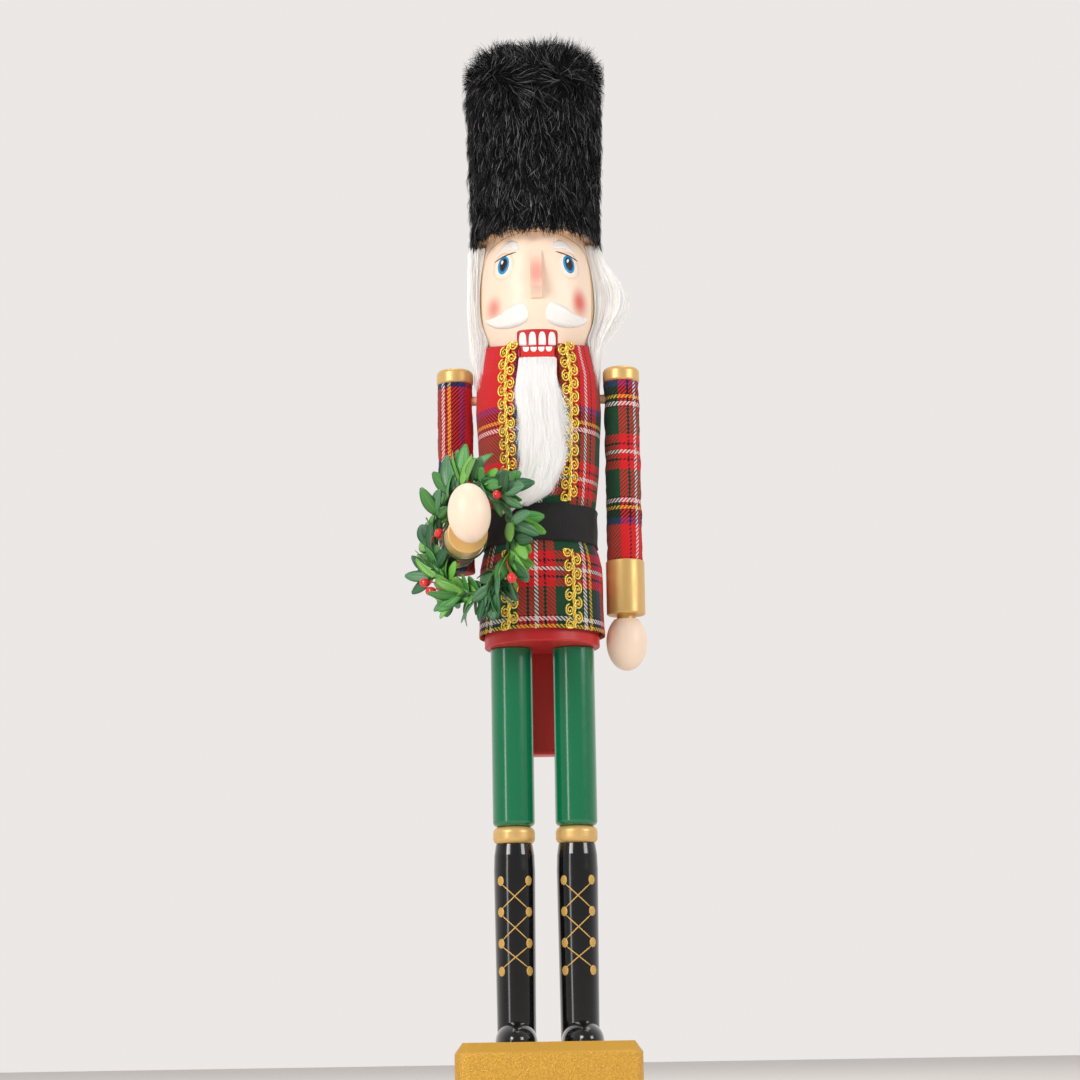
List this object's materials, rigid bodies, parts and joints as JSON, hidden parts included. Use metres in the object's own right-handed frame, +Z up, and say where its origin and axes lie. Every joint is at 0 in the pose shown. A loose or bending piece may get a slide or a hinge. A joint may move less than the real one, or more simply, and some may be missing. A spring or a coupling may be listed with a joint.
{
  "type": "nutcracker figure",
  "caption": "Standing wooden nutcracker soldier with fur hat, tartan jacket, lever jaw with beard, turning arms and a leaf wreath hung on the bent forearm, on a square base.",
  "frame": {"origin": "middle of the base's underside", "axes": "+Z up through the hat; the figure faces -Y; its own left arm, the straight one, is at +X"},
  "size_m": [0.1911, 0.2346, 0.91],
  "materials": {
    "base_gold": "gold glitter paint",
    "felt": "matt",
    "steel": "plain",
    "boot_black": "gloss paint",
    "gold_paint": "satin metallic paint",
    "trouser_green": "gloss paint",
    "bare_wood": "bare",
    "body_red": "satin paint",
    "tartan": "woven twill",
    "belt_black": "ribbed elastic",
    "gold_braid": "metallic cord",
    "jaw_red": "gloss paint",
    "skin": "satin paint",
    "nose_skin": "satin paint",
    "white_fur": "long pile",
    "black_fur": "pile",
    "leaf_green": "semi matt",
    "wire_green": "wrapped",
    "berry_red": "gloss"
  },
  "bodies": {
    "figure": {"base_block": "base_gold", "base_felt": "felt", "leg_screws": "steel", "left_boot": "boot_black", "right_boot": "boot_black", "left_shoe": "boot_black", "right_shoe": "boot_black", "left_knee_ring": "gold_paint", "right_knee_ring": "gold_paint", "left_trouser_leg": "trouser_green", "right_trouser_leg": "trouser_green", "knee_dowels": "bare_wood", "hip_dowels": "bare_wood", "body_core": "body_red", "neck_dowels": "bare_wood", "jaw_pivot_pin": "steel", "left_shoulder_dowel": "bare_wood", "right_shoulder_dowel": "bare_wood", "jacket_cloth": "tartan", "belt": "belt_black", "braid_upper_left": "gold_braid", "braid_upper_right": "gold_braid", "braid_lower_left": "gold_braid", "braid_lower_right": "gold_braid", "head": "skin", "nose": "nose_skin", "hair": "white_fur", "hat_core": "bare_wood", "hat_dowel": "bare_wood", "hat_fur": "black_fur"},
    "jaw": {"jaw_lever": "jaw_red", "beard": "white_fur"},
    "left_arm": {"left_arm_core": "bare_wood", "left_sleeve": "tartan", "left_shoulder_cap": "gold_paint", "left_cuff": "gold_paint", "left_hand": "skin", "left_wrist_dowel": "bare_wood"},
    "right_arm": {"right_upper_arm": "bare_wood", "right_upper_sleeve": "tartan", "right_shoulder_cap": "gold_paint", "right_elbow_dowel": "bare_wood", "right_forearm": "bare_wood", "right_forearm_sleeve": "tartan", "right_cuff": "gold_paint", "right_hand": "skin", "right_wrist_dowel": "bare_wood"},
    "wreath": {"wreath_ring": "wire_green", "wreath_foliage": "leaf_green", "wreath_berries": "berry_red"}
  },
  "joints": [
    {"name": "jaw_hinge", "type": "hinge", "parent": "figure", "child": "jaw", "pos_m": [0, 0, 0.621], "axis": [1, 0, 0], "range_deg": [0, 24], "deforming": ["beard"]},
    {"name": "left_shoulder", "type": "hinge", "parent": "figure", "child": "left_arm", "pos_m": [0.0725, 0, 0.6], "axis": [1, 0, 0], "range_deg": [-90, 30]},
    {"name": "right_shoulder", "type": "hinge", "parent": "figure", "child": "right_arm", "pos_m": [-0.0725, 0, 0.6], "axis": [1, 0, 0], "range_deg": [-45, 10]},
    {"name": "wreath_swing", "type": "hinge", "parent": "right_arm", "child": "wreath", "pos_m": [-0.06259, -0.09932, 0.45989], "axis": [0.0991, -0.9932, -0.061], "range_deg": [-20, 20]}
  ]
}
